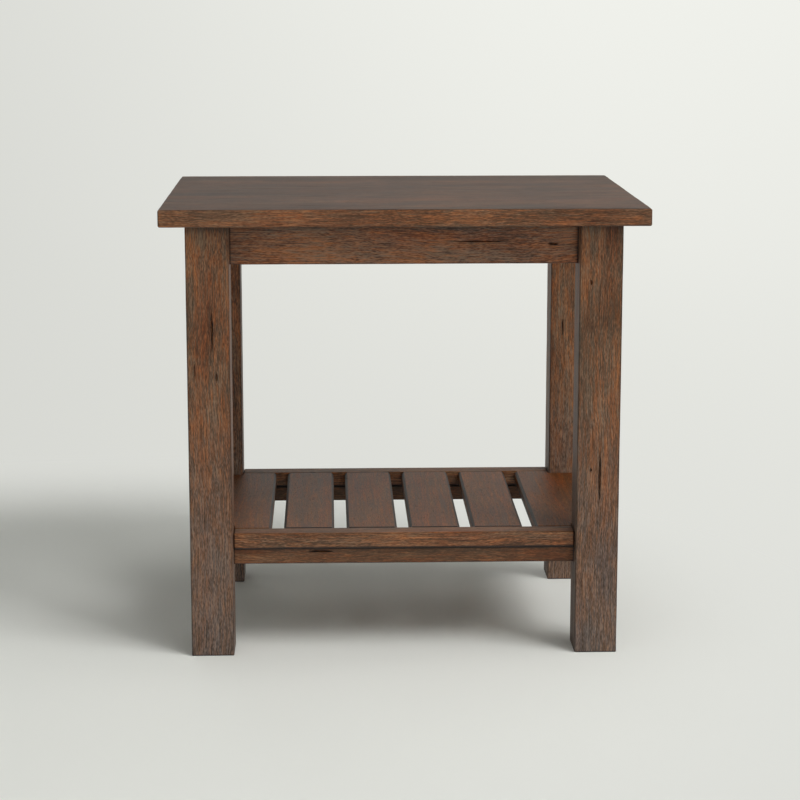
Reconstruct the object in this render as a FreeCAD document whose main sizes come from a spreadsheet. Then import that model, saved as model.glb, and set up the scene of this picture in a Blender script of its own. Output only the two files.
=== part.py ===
import FreeCAD, Part
import math
import os
import Sketcher

# End table with a slatted shelf. Four square legs are joined by tenoned aprons at the top and
# tenoned stretchers near the floor. A solid top is screwed down through corner blocks, and the
# shelf is a row of boards tenoned into two rails that lie on the stretchers.
# The origin is on the floor under the middle of the top, and the front looks towards -Y.

document = FreeCAD.newDocument("EndTable")

# Driving sizes in millimetres
SIZES = [
    # The top and the height of the table
    ("top_length", 560),
    ("top_width", 435),
    ("top_thickness", 20),
    ("top_overhang", 28.5),
    ("top_edge_ease", 2),
    ("table_height", 531),
    # The legs
    ("leg_width", 50),
    ("leg_edge_ease", 1.5),
    # The aprons under the top
    ("apron_height", 48),
    ("apron_thickness", 20),
    ("apron_setback", 18),
    ("apron_bevel", 1),
    # The stretchers under the shelf
    ("stretcher_height", 19.5),
    ("stretcher_thickness", 20),
    ("stretcher_setback", 17.5),
    ("stretcher_bevel", 1.5),
    # The mortise and tenon joints in the legs
    ("tenon_thickness", 9),
    ("apron_tenon_shoulder", 8),
    ("stretcher_tenon_shoulder", 4),
    ("tenon_end_gap", 1),
    ("mortise_wall", 2.5),
    ("mortise_clearance", 0.15),
    # The shelf
    ("shelf_height", 145.5),
    ("rail_height", 19),
    ("rail_width", 26.5),
    ("rail_setback", 12),
    ("rail_edge_ease", 2),
    ("rail_end_gap", 0.4),
    ("slot_width", 15),
    ("slat_thickness", 13),
    ("slat_bevel", 3),
    ("slat_end_bevel", 1),
    ("slat_end_gap", 0.3),
    ("slat_tenon_thickness", 6),
    ("slat_tenon_length", 10),
    ("slat_tenon_shoulder", 5),
    ("board_end_width", 44),
    ("leg_notch_gap", 1),
    # The corner blocks behind the aprons
    ("block_height", 30),
    ("block_thickness", 20),
    ("block_leg_gap", 4),
    # The countersunk screws
    ("screw_diameter", 4),
    ("screw_head_diameter", 8),
    ("screw_head_height", 2.4),
    ("screw_point_length", 4),
    ("screw_clearance", 0.1),
    ("top_screw_bite", 12),
    ("shelf_screw_bite", 11),
]

# The narrow boards of the shelf, between its two outer ones
SLAT_COUNT = 4

sheet = document.addObject("Spreadsheet::Sheet", "Sizes")
for row, (alias, value) in enumerate(SIZES, start=1):
    sheet.set(f"A{row}", alias)
    sheet.set(f"B{row}", str(value))
    sheet.setAlias(f"B{row}", alias)
document.recompute()

# Places that several pieces share, as expressions on the sheet
LEG_LENGTH = "(Sizes.table_height - Sizes.top_thickness)"
OUTER_X = "(Sizes.top_length / 2 - Sizes.top_overhang)"
OUTER_Y = "(Sizes.top_width / 2 - Sizes.top_overhang)"
INNER_X = f"({OUTER_X} - Sizes.leg_width)"
INNER_Y = f"({OUTER_Y} - Sizes.leg_width)"

# Middle planes of the aprons and stretchers, counted in from the legs' outer faces
APRON_MIDDLE = "(Sizes.apron_setback + Sizes.apron_thickness / 2)"
STRETCHER_MIDDLE = "(Sizes.stretcher_setback + Sizes.stretcher_thickness / 2)"

# Heights of the aprons and stretchers. The side stretchers rise to the shelf's thinner outer boards.
APRON_BASE = f"({LEG_LENGTH} - Sizes.apron_height)"
SLAT_BASE = "(Sizes.shelf_height - Sizes.slat_thickness)"
RAIL_BASE = "(Sizes.shelf_height - Sizes.rail_height)"
STRETCHER_BASE = f"({RAIL_BASE} - Sizes.stretcher_height)"
SIDE_STRETCHER_HEIGHT = f"({SLAT_BASE} - {STRETCHER_BASE})"

# A tenon stops short of the mortise that crosses its path inside the leg
TENON_LIMIT = (
    "(Sizes.leg_width - Sizes.tenon_thickness / 2 - Sizes.mortise_clearance"
    " - Sizes.mortise_wall - Sizes.tenon_end_gap)"
)
APRON_TENON = f"({TENON_LIMIT} - {APRON_MIDDLE})"
STRETCHER_TENON = f"({TENON_LIMIT} - {STRETCHER_MIDDLE})"

# The shelf boards between the rails, and their tenons
RAIL_INNER_Y = f"({OUTER_Y} - Sizes.rail_setback - Sizes.rail_width)"
SLAT_LENGTH = f"(2 * {RAIL_INNER_Y} - 2 * Sizes.slat_end_gap)"
SLAT_TENON_SPAN = f"({SLAT_LENGTH} + 2 * Sizes.slat_tenon_length)"
SLAT_TENON_MIDDLE = "(Sizes.slat_thickness / 2)"
BOARD_INNER_X = f"({INNER_X} - Sizes.board_end_width)"
SLAT_WIDTH = f"((2 * {BOARD_INNER_X} - {SLAT_COUNT + 1} * Sizes.slot_width) / {SLAT_COUNT})"
SLAT_PITCH = f"({SLAT_WIDTH} + Sizes.slot_width)"
BOARD_NOTCH_X = f"({INNER_X} - Sizes.leg_notch_gap)"
BOARD_NOTCH_Y = f"({INNER_Y} - Sizes.leg_notch_gap)"
BOARD_OUTER_X = f"({OUTER_X} - Sizes.rail_setback)"

# The corner where the aprons' inner faces would meet, and how far along each apron a block starts and ends
CORNER_X = f"({OUTER_X} - Sizes.apron_setback - Sizes.apron_thickness)"
CORNER_Y = f"({OUTER_Y} - Sizes.apron_setback - Sizes.apron_thickness)"
LEG_PROUD = "(Sizes.leg_width - Sizes.apron_setback - Sizes.apron_thickness)"
BLOCK_START = f"(2 * {LEG_PROUD} + Sizes.block_leg_gap * sqrt(2))"
BLOCK_END = f"({BLOCK_START} + Sizes.block_thickness * sqrt(2))"
BLOCK_MIDDLE = f"(({BLOCK_START} + {BLOCK_END}) / 2)"
BLOCK_BASE = f"({LEG_LENGTH} - Sizes.block_height)"

# The screws' places and lengths. Their heads lie flush with the wood below.
TOP_SCREW_LENGTH = "(Sizes.block_height + Sizes.top_screw_bite)"
TOP_SCREW_X = f"({CORNER_X} - {BLOCK_MIDDLE} / 2)"
TOP_SCREW_Y = f"({CORNER_Y} - {BLOCK_MIDDLE} / 2)"
SHELF_SCREW_LENGTH = "(Sizes.stretcher_height + Sizes.shelf_screw_bite)"
SHELF_SCREW_X = f"({SLAT_COUNT / 2} * {SLAT_PITCH})"
SHELF_SCREW_Y = f"({OUTER_Y} - {STRETCHER_MIDDLE})"


# Ways of making a piece

pieces = []


def new_piece(label, solids=1):
    """An empty piece with its own name, and the number of separate solids it will hold."""
    body = document.addObject("PartDesign::Body", label)
    body.Label = label
    pieces.append((body, solids))
    return body


def place(body, x="0", y="0", z="0", turn=0):
    """Set a piece in the table, turned about the upright by degrees."""
    body.Placement = FreeCAD.Placement(
        FreeCAD.Vector(), FreeCAD.Rotation(FreeCAD.Vector(0, 0, 1), turn)
    )
    for axis, expression in (("x", x), ("y", y), ("z", z)):
        body.setExpression(f"Placement.Base.{axis}", expression)


def origin_feature(body, role):
    """The origin plane or axis of a piece that plays the given role."""
    return next(item for item in body.Origin.OriginFeatures if item.Role == role)


def rectangle(left, right, low, high):
    """The corners of a rectangle."""
    return [(left, low), (right, low), (right, high), (left, high)]


def outline(body, name, plane, corners, shift=("0", "0", "0")):
    """A closed outline through corners, on a plane of the piece moved along the sketch's own axes."""
    sketch = body.newObject("Sketcher::SketchObject", name)
    sketch.AttachmentSupport = (origin_feature(body, plane), [""])
    sketch.MapMode = "FlatFace"
    for axis, expression in zip("xyz", shift):
        sketch.setExpression(f"AttachmentOffset.Base.{axis}", expression)
    points = [
        FreeCAD.Vector(sheet.evalExpression(across), sheet.evalExpression(up), 0)
        for across, up in corners
    ]
    count = len(corners)
    for index in range(count):
        sketch.addGeometry(Part.LineSegment(points[index], points[(index + 1) % count]))
    for index in range(count):
        sketch.addConstraint(Sketcher.Constraint("Coincident", index, 2, (index + 1) % count, 1))
    for index, (point, corner) in enumerate(zip(points, corners)):
        for kind, value, expression in zip(("DistanceX", "DistanceY"), point, corner):
            number = sketch.addConstraint(Sketcher.Constraint(kind, -1, 1, index, 1, value))
            sketch.setExpression(f"Constraints[{number}]", expression)
    return sketch


def pad(body, name, sketch, length, symmetric=False):
    """Raise an outline from its plane, or to both sides of it."""
    feature = body.newObject("PartDesign::Pad", name)
    feature.Profile = sketch
    feature.SideType = "Symmetric" if symmetric else "One side"
    feature.setExpression("Length", length)
    document.recompute()
    return feature


def pocket(body, name, sketch, depth, along_normal):
    """Cut an outline into the piece, along its plane's normal or against it."""
    feature = body.newObject("PartDesign::Pocket", name)
    feature.Profile = sketch
    feature.Reversed = along_normal
    feature.setExpression("Length", depth)
    document.recompute()
    return feature


def edges_of(feature, direction, wanted):
    """Names of the straight edges along a direction whose middle point is wanted."""
    names = []
    for number, edge in enumerate(feature.Shape.Edges, start=1):
        along = abs(edge.tangentAt(edge.FirstParameter).dot(direction))
        if math.isclose(along, 1, abs_tol=1e-6) and wanted(edge.CenterOfMass):
            names.append(f"Edge{number}")
    return names


def round_edges(body, feature, edges, radius):
    """Ease edges to a small radius."""
    fillet = body.newObject("PartDesign::Fillet", "EasedEdges")
    fillet.Base = (feature, edges)
    fillet.setExpression("Radius", radius)
    document.recompute()
    return fillet


def bevel_edges(body, feature, edges, width):
    """Plane a flat bevel along edges."""
    chamfer = body.newObject("PartDesign::Chamfer", "BevelledEdges")
    chamfer.Base = (feature, edges)
    chamfer.setExpression("Size", width)
    document.recompute()
    return chamfer


def mirrored(body, features, planes):
    """Repeat features on the other side of each plane in turn."""
    group = body.newObject("PartDesign::MultiTransform", "MirroredCopies")
    group.Originals = features
    mirrors = []
    for plane in planes:
        mirror = document.addObject("PartDesign::Mirrored", "Mirror")
        mirror.MirrorPlane = (origin_feature(body, plane), [""])
        body.addObject(mirror)
        mirrors.append(mirror)
    group.Transformations = mirrors
    body.Tip = group
    document.recompute()
    return group


def row_along_x(body, features, count, spacing):
    """Repeat features at even steps along the piece."""
    pattern = body.newObject("PartDesign::LinearPattern", "EvenRow")
    pattern.Originals = features
    pattern.Direction = (origin_feature(body, "X_Axis"), [""])
    pattern.Mode = "Spacing"
    pattern.setExpression("Offset", spacing)
    pattern.Occurrences = count
    body.Tip = pattern
    document.recompute()
    return pattern


X = FreeCAD.Vector(1, 0, 0)
Y = FreeCAD.Vector(0, 1, 0)
Z = FreeCAD.Vector(0, 0, 1)


def everywhere(point):
    """Any edge will do."""
    return True


def turned(body, kind, name, radii, length, x, y, z):
    """Add or cut an upright screw shape, from its head at x, y, z to its point."""
    head, shank = radii
    sketch = outline(
        body, f"{name}Outline", "XZ_Plane",
        [
            ("0", "0"),
            (head, "0"),
            (shank, "Sizes.screw_head_height"),
            (shank, f"{length} - Sizes.screw_point_length"),
            ("0", length),
        ],
        (x, z, f"-{y}"),
    )
    feature = body.newObject(f"PartDesign::{kind}", name)
    feature.Profile = sketch
    feature.ReferenceAxis = (sketch, ["V_Axis"])
    feature.Angle = 360
    document.recompute()
    return feature


def screw(body, length, x, y, z):
    """A countersunk screw that points up."""
    radii = ("Sizes.screw_head_diameter / 2", "Sizes.screw_diameter / 2")
    return turned(body, "Revolution", "Screw", radii, length, x, y, z)


def screw_hole(body, length, x, y, z):
    """The hole round such a screw, a little wider and deeper."""
    radii = (
        "Sizes.screw_head_diameter / 2 + Sizes.screw_clearance",
        "Sizes.screw_diameter / 2 + Sizes.screw_clearance",
    )
    return turned(body, "Groove", "ScrewHole", radii, f"({length} + Sizes.screw_clearance)", x, y, z)


# The top is a solid slab with eased edges. Four blind holes below take its screws.

top = new_piece("top")
plan = outline(
    top, "Plan", "XY_Plane",
    rectangle("-Sizes.top_length / 2", "Sizes.top_length / 2", "-Sizes.top_width / 2", "Sizes.top_width / 2"),
)
slab = pad(top, "Slab", plan, "Sizes.top_thickness")
eased = top.newObject("PartDesign::Fillet", "EasedEdges")
eased.Base = (slab, [""])
eased.UseAllEdges = True
eased.setExpression("Radius", "Sizes.top_edge_ease")
document.recompute()
hole = screw_hole(top, TOP_SCREW_LENGTH, TOP_SCREW_X, TOP_SCREW_Y, "-Sizes.block_height")
mirrored(top, [hole], ["YZ_Plane", "XZ_Plane"])
place(top, z=LEG_LENGTH)


# Each leg is a square post with eased edges and four blind mortises, two in each inner face

def mortise(leg, name, face, inward, middle, low, high, tenon):
    """A blind mortise in an inner face of a leg, round a tenon that stands between two heights."""
    half = "(Sizes.tenon_thickness / 2 + Sizes.mortise_clearance)"
    plane, normal = ("YZ_Plane", 1) if face == "X" else ("XZ_Plane", -1)
    corners = rectangle(
        f"{middle} - {half}", f"{middle} + {half}",
        f"{low} - Sizes.mortise_clearance", f"{high} + Sizes.mortise_clearance",
    )
    shift = ("0", "0", f"{normal * inward} * Sizes.leg_width / 2")
    sketch = outline(leg, f"{name}Outline", plane, corners, shift)
    pocket(leg, name, sketch, f"{tenon} + Sizes.tenon_end_gap", along_normal=(normal * inward < 0))


def make_leg(label, side_x, side_y):
    """A leg whose signs say which corner of the table it stands in."""
    leg = new_piece(label)
    half = "Sizes.leg_width / 2"
    section = outline(leg, "Section", "XY_Plane", rectangle(f"-{half}", half, f"-{half}", half))
    post = pad(leg, "Post", section, LEG_LENGTH)
    round_edges(leg, post, edges_of(post, Z, everywhere), "Sizes.leg_edge_ease")

    apron_low = f"({APRON_BASE} + Sizes.apron_tenon_shoulder)"
    apron_high = f"({LEG_LENGTH} - Sizes.apron_tenon_shoulder)"
    stretcher_low = f"({STRETCHER_BASE} + Sizes.stretcher_tenon_shoulder)"
    long_high = f"({RAIL_BASE} - Sizes.stretcher_tenon_shoulder)"
    side_high = f"({SLAT_BASE} - Sizes.stretcher_tenon_shoulder)"
    for face, inward, outer_sign, stretcher_high in (
        ("X", -side_x, side_y, long_high),
        ("Y", -side_y, side_x, side_high),
    ):
        apron_at = f"{outer_sign} * ({half} - {APRON_MIDDLE})"
        stretcher_at = f"{outer_sign} * ({half} - {STRETCHER_MIDDLE})"
        mortise(leg, f"ApronMortise{face}", face, inward, apron_at, apron_low, apron_high, APRON_TENON)
        mortise(
            leg, f"StretcherMortise{face}", face, inward,
            stretcher_at, stretcher_low, stretcher_high, STRETCHER_TENON,
        )
    place(leg, f"{side_x} * ({OUTER_X} - {half})", f"{side_y} * ({OUTER_Y} - {half})")


for depth_name, side_y in (("front", -1), ("rear", 1)):
    for width_name, side_x in (("left", -1), ("right", 1)):
        make_leg(f"leg_{depth_name}_{width_name}", side_x, side_y)


# The aprons and stretchers are boards with a stub tenon at each end. Each board runs along its own
# X axis, with its inner face towards its own +Y, and is turned to its side of the table.

SIDES = (
    ("front", 0, INNER_X, "0", f"-{OUTER_Y}", "0", "1"),
    ("rear", 180, INNER_X, "0", OUTER_Y, "0", "-1"),
    ("left", -90, INNER_Y, f"-{OUTER_X}", "0", "1", "0"),
    ("right", 90, INNER_Y, OUTER_X, "0", "-1", "0"),
)


def tenoned_board(label, half_length, thickness, height, bevel, tenon, shoulder):
    """A board with bevelled long edges and a stub tenon at each end."""
    board = new_piece(label)
    half = f"{thickness} / 2"
    section = outline(board, "Section", "YZ_Plane", rectangle(f"-{half}", half, "0", height))
    plank = pad(board, "Plank", section, f"2 * {half_length}", symmetric=True)
    bevel_edges(board, plank, edges_of(plank, X, everywhere), bevel)
    half_tenon = "Sizes.tenon_thickness / 2"
    tenon_section = outline(
        board, "TenonSection", "YZ_Plane",
        rectangle(f"-{half_tenon}", half_tenon, shoulder, f"{height} - {shoulder}"),
    )
    pad(board, "Tenons", tenon_section, f"2 * ({half_length} + {tenon})", symmetric=True)
    return board


for name, turn_angle, half_length, edge_x, edge_y, in_x, in_y in SIDES:
    apron = tenoned_board(
        f"apron_{name}", half_length, "Sizes.apron_thickness", "Sizes.apron_height",
        "Sizes.apron_bevel", APRON_TENON, "Sizes.apron_tenon_shoulder",
    )
    place(
        apron, f"{edge_x} + {in_x} * {APRON_MIDDLE}", f"{edge_y} + {in_y} * {APRON_MIDDLE}",
        APRON_BASE, turn_angle,
    )

for name, turn_angle, half_length, edge_x, edge_y, in_x, in_y in SIDES:
    lengthways = half_length == INNER_X
    height = "Sizes.stretcher_height" if lengthways else SIDE_STRETCHER_HEIGHT
    stretcher = tenoned_board(
        f"stretcher_{name}", half_length, "Sizes.stretcher_thickness", height,
        "Sizes.stretcher_bevel", STRETCHER_TENON, "Sizes.stretcher_tenon_shoulder",
    )
    if lengthways:
        hole = screw_hole(stretcher, SHELF_SCREW_LENGTH, SHELF_SCREW_X, "0", "0")
        mirrored(stretcher, [hole], ["YZ_Plane"])
    place(
        stretcher, f"{edge_x} + {in_x} * {STRETCHER_MIDDLE}", f"{edge_y} + {in_y} * {STRETCHER_MIDDLE}",
        STRETCHER_BASE, turn_angle,
    )


# The shelf rails lie on the front and rear stretchers. Each has a mortise for every shelf board in its
# inner face, and blind holes below for its screws.

def board_mortise(rail, name, left, right):
    """A mortise in a rail's inner face, round a shelf board's tenon."""
    middle = f"(Sizes.rail_height - {SLAT_TENON_MIDDLE})"
    half = "(Sizes.slat_tenon_thickness / 2 + Sizes.mortise_clearance)"
    corners = rectangle(
        f"{left} - Sizes.mortise_clearance", f"{right} + Sizes.mortise_clearance",
        f"{middle} - {half}", f"{middle} + {half}",
    )
    sketch = outline(rail, f"{name}Outline", "XZ_Plane", corners, ("0", "0", "-Sizes.rail_width / 2"))
    depth = "Sizes.slat_tenon_length + Sizes.tenon_end_gap - Sizes.slat_end_gap"
    return pocket(rail, name, sketch, depth, along_normal=True)


for name, turn_angle, half_length, edge_x, edge_y, in_x, in_y in SIDES[:2]:
    rail = new_piece(f"shelf_rail_{name}")
    section = outline(
        rail, "Section", "YZ_Plane",
        rectangle("-Sizes.rail_width / 2", "Sizes.rail_width / 2", "0", "Sizes.rail_height"),
    )
    bar = pad(rail, "Bar", section, f"2 * ({INNER_X} - Sizes.rail_end_gap)", symmetric=True)
    round_edges(rail, bar, edges_of(bar, X, everywhere), "Sizes.rail_edge_ease")
    first = f"({-(SLAT_COUNT - 1) / 2} * {SLAT_PITCH})"
    half = f"({SLAT_WIDTH} / 2 - Sizes.slat_tenon_shoulder)"
    slat_mortise = board_mortise(rail, "SlatMortise", f"{first} - {half}", f"{first} + {half}")
    row_along_x(rail, [slat_mortise], SLAT_COUNT, SLAT_PITCH)
    end_mortise = board_mortise(
        rail, "EndMortise",
        f"{BOARD_INNER_X} + Sizes.slat_tenon_shoulder", f"{BOARD_NOTCH_X} - Sizes.slat_tenon_shoulder",
    )
    mirrored(rail, [end_mortise], ["YZ_Plane"])
    screw_y = f"({STRETCHER_MIDDLE} - Sizes.rail_setback - Sizes.rail_width / 2)"
    hole = screw_hole(rail, SHELF_SCREW_LENGTH, SHELF_SCREW_X, screw_y, "-Sizes.stretcher_height")
    mirrored(rail, [hole], ["YZ_Plane"])
    rail_middle = "(Sizes.rail_setback + Sizes.rail_width / 2)"
    place(rail, "0", f"{edge_y} + {in_y} * {rail_middle}", RAIL_BASE, turn_angle)


# The shelf boards run from front to back, with bevelled upper edges and a stub tenon at each end

def at_top(point):
    """An edge on the upper face of a shelf board."""
    return math.isclose(point.z, sheet.slat_thickness, abs_tol=1e-6)


def add_board_tenons(board, left, right):
    """Stub tenons at both ends of a shelf board."""
    half = "Sizes.slat_tenon_thickness / 2"
    section = outline(
        board, "TenonSection", "XZ_Plane",
        rectangle(left, right, f"{SLAT_TENON_MIDDLE} - {half}", f"{SLAT_TENON_MIDDLE} + {half}"),
    )
    pad(board, "Tenons", section, SLAT_TENON_SPAN, symmetric=True)


for number in range(1, SLAT_COUNT + 1):
    slat = new_piece(f"shelf_slat_{number}")
    section = outline(
        slat, "Section", "XZ_Plane",
        rectangle(f"-{SLAT_WIDTH} / 2", f"{SLAT_WIDTH} / 2", "0", "Sizes.slat_thickness"),
    )
    plank = pad(slat, "Plank", section, SLAT_LENGTH, symmetric=True)
    bevelled = bevel_edges(slat, plank, edges_of(plank, Y, at_top), "Sizes.slat_bevel")
    bevel_edges(slat, bevelled, edges_of(bevelled, X, at_top), "Sizes.slat_end_bevel")
    half = f"({SLAT_WIDTH} / 2 - Sizes.slat_tenon_shoulder)"
    add_board_tenons(slat, f"-{half}", half)
    place(slat, f"{number - (SLAT_COUNT + 1) / 2} * {SLAT_PITCH}", "0", SLAT_BASE)


# The outer shelf boards are wider, and notched round the legs. They rest on the side stretchers.

for name, turn_angle in (("left", 180), ("right", 0)):
    board = new_piece(f"shelf_board_{name}")
    end_y = f"{SLAT_LENGTH} / 2"
    plan = outline(
        board, "Plan", "XY_Plane",
        [
            (BOARD_INNER_X, f"-{end_y}"),
            (BOARD_NOTCH_X, f"-{end_y}"),
            (BOARD_NOTCH_X, f"-{BOARD_NOTCH_Y}"),
            (BOARD_OUTER_X, f"-{BOARD_NOTCH_Y}"),
            (BOARD_OUTER_X, BOARD_NOTCH_Y),
            (BOARD_NOTCH_X, BOARD_NOTCH_Y),
            (BOARD_NOTCH_X, end_y),
            (BOARD_INNER_X, end_y),
        ],
    )
    plank = pad(board, "Plank", plan, "Sizes.slat_thickness")
    outer_x = sheet.evalExpression(BOARD_OUTER_X)
    inner_x = sheet.evalExpression(BOARD_INNER_X)
    long_end_y = sheet.evalExpression(end_y)
    outer_edges = edges_of(plank, Y, lambda point: math.isclose(point.x, outer_x, abs_tol=1e-6))
    rounded = round_edges(board, plank, outer_edges, "Sizes.rail_edge_ease")
    slot_edge = edges_of(
        rounded, Y, lambda point: at_top(point) and math.isclose(point.x, inner_x, abs_tol=1e-6)
    )
    bevelled = bevel_edges(board, rounded, slot_edge, "Sizes.slat_bevel")
    end_edges = edges_of(
        bevelled, X, lambda point: at_top(point) and math.isclose(abs(point.y), long_end_y, abs_tol=1e-6)
    )
    bevel_edges(board, bevelled, end_edges, "Sizes.slat_end_bevel")
    add_board_tenons(
        board,
        f"{BOARD_INNER_X} + Sizes.slat_tenon_shoulder", f"{BOARD_NOTCH_X} - Sizes.slat_tenon_shoulder",
    )
    place(board, "0", "0", SLAT_BASE, turn_angle)


# A corner block is glued across each corner behind the aprons, with its ends mitred to sit flat on them,
# and has the hole of a screw up into the top. Its own origin is the corner of the aprons.

for name, turn_angle, sign_x, sign_y in (
    ("rear_right", 0, 1, 1),
    ("rear_left", 90, -1, 1),
    ("front_left", 180, -1, -1),
    ("front_right", 270, 1, -1),
):
    block = new_piece(f"corner_block_{name}")
    plan = outline(
        block, "Plan", "XY_Plane",
        [("0", f"-{BLOCK_START}"), (f"-{BLOCK_START}", "0"), (f"-{BLOCK_END}", "0"), ("0", f"-{BLOCK_END}")],
    )
    pad(block, "Brace", plan, "Sizes.block_height")
    middle = f"-{BLOCK_MIDDLE} / 2"
    screw_hole(block, TOP_SCREW_LENGTH, middle, f"({middle})", "0")
    place(block, f"{sign_x} * {CORNER_X}", f"{sign_y} * {CORNER_Y}", BLOCK_BASE, turn_angle)


# The screws are countersunk wood screws, grouped by what they hold

for label, length, x, y, z in (
    ("top_screws", TOP_SCREW_LENGTH, TOP_SCREW_X, TOP_SCREW_Y, BLOCK_BASE),
    ("shelf_screws", SHELF_SCREW_LENGTH, SHELF_SCREW_X, SHELF_SCREW_Y, STRETCHER_BASE),
):
    screws = new_piece(label, solids=4)
    mirrored(screws, [screw(screws, length, x, y, z)], ["YZ_Plane", "XZ_Plane"])


# Check every piece, then write one file for each

document.recompute()
for item in document.Objects:
    if "Invalid" in item.State or "Error" in item.State:
        raise RuntimeError(f"{item.Label} failed: {item.State}")
for body, solids in pieces:
    if body.Shape.isNull() or not body.Shape.isValid():
        raise RuntimeError(f"{body.Label} has no valid shape")
    if len(body.Shape.Solids) != solids:
        raise RuntimeError(f"{body.Label} has {len(body.Shape.Solids)} solids in place of {solids}")

os.makedirs("parts", exist_ok=True)
for body, solids in pieces:
    body.Shape.exportStep(f"parts/{body.Label}.step")
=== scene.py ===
import math
import random

import bmesh
import bpy
from mathutils import Matrix, Vector, noise


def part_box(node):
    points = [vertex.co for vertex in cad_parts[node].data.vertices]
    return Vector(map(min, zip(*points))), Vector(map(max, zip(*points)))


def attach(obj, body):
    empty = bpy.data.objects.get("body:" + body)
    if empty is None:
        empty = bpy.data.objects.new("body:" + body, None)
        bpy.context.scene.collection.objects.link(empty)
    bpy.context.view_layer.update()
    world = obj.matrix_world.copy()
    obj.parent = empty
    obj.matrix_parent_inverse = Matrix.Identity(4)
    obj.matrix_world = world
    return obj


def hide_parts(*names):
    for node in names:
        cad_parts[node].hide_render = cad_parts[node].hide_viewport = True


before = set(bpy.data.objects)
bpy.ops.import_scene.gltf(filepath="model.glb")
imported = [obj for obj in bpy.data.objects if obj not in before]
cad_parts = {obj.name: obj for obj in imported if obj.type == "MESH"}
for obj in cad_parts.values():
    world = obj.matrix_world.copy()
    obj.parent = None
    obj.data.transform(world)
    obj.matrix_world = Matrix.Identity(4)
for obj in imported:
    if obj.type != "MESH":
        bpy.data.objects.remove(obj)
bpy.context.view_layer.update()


# The legs are four square posts of solid stained hardwood, planed straight, with their arrises eased
# by hand and a few drying checks left open. Blind mortises in their inner faces take the tenons of the
# aprons and stretchers.

MM = 0.001
X, Y, Z = range(3)
AXES = (Vector((1, 0, 0)), Vector((0, 1, 0)), Vector((0, 0, 1)))
TOUCH = 0.001 * MM
CUT_TOUCH = 0.0001 * MM
PARALLEL = 0.999
FACING = 0.99
SHARP_ANGLE = math.radians(35)

LEG_EASE = 1.5 * MM
FOOT_EASE = 1.0 * MM
ARRIS_WEAR = 0.35 * MM
WEAR_REACH = 2.5 * MM
WEAR_SPACING = 14 * MM
WEAR_WAVES = 45
WEAR_BIAS = 0.25

TENON_THICKNESS = 9 * MM
MORTISE_GAP = 0.15 * MM
MORTISE_END_GAP = 1.0 * MM
SHOULDERS = {"apron": 8 * MM, "stretcher": 4 * MM}

CHECK_DEPTH = 3.5 * MM
CHECK_STEPS = 10
CHECK_WANDER = 0.5
CHECK_WAVES = 150
CHECK_TIP = 0.1
# A drying check has a middle point, a length along the grain and a width
LEG_CHECKS = {
    "leg_front_left": (
        ((-0.2222, -0.189, 0.388), 0.046, 0.0030),
        ((-0.2425, -0.189, 0.343), 0.020, 0.0015),
        ((-0.2175, -0.189, 0.334), 0.012, 0.0024),
    ),
    "leg_front_right": (
        ((0.2284, -0.189, 0.214), 0.062, 0.0030),
        ((0.2178, -0.189, 0.222), 0.004, 0.0022),
        ((0.2150, -0.189, 0.443), 0.006, 0.0026),
    ),
    "leg_rear_right": (
        ((0.2175, 0.139, 0.340), 0.022, 0.0024),
    ),
}

BLACK_BROWN = (0.013, 0.011, 0.011, 1.0)
PORE_BROWN = (0.020, 0.011, 0.008, 1.0)
DARK_BROWN = (0.060, 0.027, 0.013, 1.0)
BROWN = (0.119, 0.052, 0.024, 1.0)
ORANGE_BROWN = (0.203, 0.088, 0.041, 1.0)
TAN = (0.300, 0.140, 0.062, 1.0)
STAIN_TONES = [(0.18, DARK_BROWN), (0.42, BROWN), (0.60, ORANGE_BROWN), (0.85, TAN)]
RED_TINT = (1.00, 0.86, 0.78, 1.0)
COOL_TINT = (0.70, 1.05, 1.40, 1.0)
WARM_TINT = (1.28, 0.95, 0.58, 1.0)
MEAN_WARMTH = 0.42
CHECK_SHADE_BLACK = (0.004, 0.006, 0.007, 1.0)
CHECK_EDGE = (0.75, 1.2)
CHECK_RAGGED = 1.6 * MM

# How each board's own x axis is turned along its grain
GRAIN_TURN = ((0, 0, 0), (0, 0, math.pi / 2), (0, -math.pi / 2, 0))
SLOW_DRIFT = 22 * MM
QUICK_DRIFT = 3 * MM
PITH_GAP = (0.06, 0.14)
RINGS_PER_METRE = 210
PORE_DARKNESS = 0.6
RELIEF_DEPTH = 0.3 * MM
RELIEF_STRENGTH = 0.5

# Glaze, dust, painted shade, shadow and sheen, and the darker upper face: their strength and fading
# distances
END_REACH = (0.3 * MM, 2.2 * MM)
ARRIS_FADE = (0.8, 1.15)
OVERHANG_SHADOW = 0.6
OVERHANG_SHADOW_REACH = (14 * MM, 1 * MM)
UPPER_DARKENING_REACH = (0.8 * MM, 0.1 * MM)
UPPER_DARKENING_UNEVEN = 0.9
SEAM_SHADOW = 0.85
SEAM_SHADOW_REACH = (1.2 * MM, 3.2 * MM)
DUST_SHEEN_DARK = (0.012, 0.010, 0.009, 1.0)
DUST_SHEEN_PALE = (0.200, 0.164, 0.141, 1.0)
DUST_SHEEN_CONTRAST = 1.35
DUST_SHEEN_HEIGHT = 0.37
DUST_SHEEN_HIDES = 0.8

# Dust with a painted sheen dulls the legs towards their feet
LEG_DUST_AND_SHEEN = 0.55
# The rear left leg is painted darker, as shade under the top
LEG_FINISH = {
    "leg_front_left": {"fine": 0.77, "fibre_length": 3.0},
    "leg_front_right": {"shade": -0.025, "fine": 0.66, "fibre_length": 5.0, "tint": (1.0, 1.04, 1.06)},
    "leg_rear_left": {"shade": -0.05, "fibre_length": 3.0},
    "leg_rear_right": {"shade": 0.025, "fine": 0.75, "fibre_length": 6.0, "tint": (1.0, 1.06, 1.10)},
}


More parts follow.
